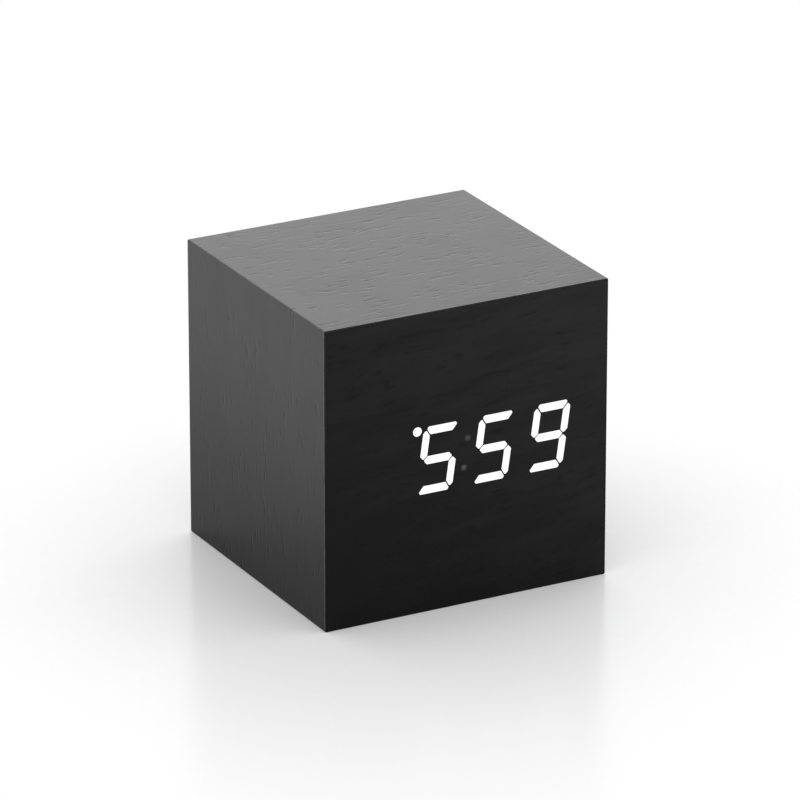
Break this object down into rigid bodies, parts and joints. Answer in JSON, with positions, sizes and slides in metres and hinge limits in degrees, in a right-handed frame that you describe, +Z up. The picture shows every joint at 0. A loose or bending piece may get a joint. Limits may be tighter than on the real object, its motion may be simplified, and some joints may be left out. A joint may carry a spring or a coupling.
{
  "type": "digital cube alarm clock",
  "caption": "Black wood-veneered cube clock whose white seven-segment digits shine through its front, with set buttons, a power socket and a hinged battery door at the rear.",
  "frame": {"origin": "middle of the base, on the surface that the clock stands on", "axes": "+Z up, -Y out of the display face, +X to the right of someone facing the display"},
  "size_m": [0.062, 0.058, 0.062],
  "materials": {
    "black_veneer": "thin black-stained wood-grain veneer, satin",
    "fibreboard": "medium-density fibreboard, rear edges painted black",
    "pine": "sawn softwood",
    "lit_window": "skin lit white from behind",
    "dim_window": "skin faintly lit from behind",
    "film": "frosted polyester film",
    "white_plastic": "moulded white",
    "circuit_board": "green solder mask over glass-fibre laminate",
    "led_phosphor": "yellow phosphor resin",
    "black_epoxy": "moulded black resin",
    "nickel": "nickel-plated steel",
    "zinc_steel": "zinc-plated steel",
    "ivory_plastic": "moulded ivory nylon",
    "grey_vinyl": "vinyl wire covering",
    "amber_plastic": "moulded nylon",
    "button_black": "moulded black, satin",
    "black_abs": "moulded black with a fine spark texture",
    "cell_jacket": "printed shrink sleeve",
    "red_vinyl": "vinyl wire covering",
    "black_vinyl": "vinyl wire covering"
  },
  "bodies": {
    "case": {"veneer_wrap": "black_veneer", "front_veneer": "black_veneer", "top_board": "fibreboard", "bottom_board": "fibreboard", "left_board": "fibreboard", "right_board": "fibreboard", "front_board": "fibreboard", "corner_blocks": "pine", "lit_segments": "lit_window", "status_light": "lit_window", "colon_lights": "dim_window", "diffuser_film": "film", "segment_reflector": "white_plastic", "display_spacers": "white_plastic", "display_board": "circuit_board", "key_board": "circuit_board", "led_chips": "led_phosphor", "controller_chip": "black_epoxy", "buzzer": "black_epoxy", "usb_tongue": "black_epoxy", "set_switch": "black_epoxy", "up_switch": "black_epoxy", "down_switch": "black_epoxy", "crystal": "nickel", "usb_shell": "nickel", "positive_contact": "nickel", "negative_contact": "nickel", "bridge_contacts": "nickel", "battery_springs": "nickel", "display_screws": "zinc_steel", "key_board_screws": "zinc_steel", "rear_screws": "zinc_steel", "display_socket": "ivory_plastic", "key_socket": "ivory_plastic", "ribbon_cable": "grey_vinyl", "rear_panel": "black_abs", "cell_1": "cell_jacket", "cell_2": "cell_jacket", "cell_3": "cell_jacket", "positive_lead": "red_vinyl", "negative_lead": "black_vinyl"},
    "door": {"battery_door": "black_abs"},
    "set_key": {"set_button": "button_black", "set_plunger": "amber_plastic"},
    "up_key": {"up_button": "button_black", "up_plunger": "amber_plastic"},
    "down_key": {"down_button": "button_black", "down_plunger": "amber_plastic"}
  },
  "joints": [
    {"name": "door_hinge", "type": "hinge", "parent": "case", "child": "door", "pos_m": [0, 0.0272, 0.012], "axis": [-1, 0, 0], "range_deg": [0, 90]},
    {"name": "set_press", "type": "slide", "parent": "case", "child": "set_key", "axis": [0, -1, 0], "range_m": [0, 0.0003], "stiffness_N_per_m": 400, "springref_m": -0.0005},
    {"name": "up_press", "type": "slide", "parent": "case", "child": "up_key", "axis": [0, -1, 0], "range_m": [0, 0.0003], "stiffness_N_per_m": 400, "springref_m": -0.0005},
    {"name": "down_press", "type": "slide", "parent": "case", "child": "down_key", "axis": [0, -1, 0], "range_m": [0, 0.0003], "stiffness_N_per_m": 400, "springref_m": -0.0005}
  ]
}
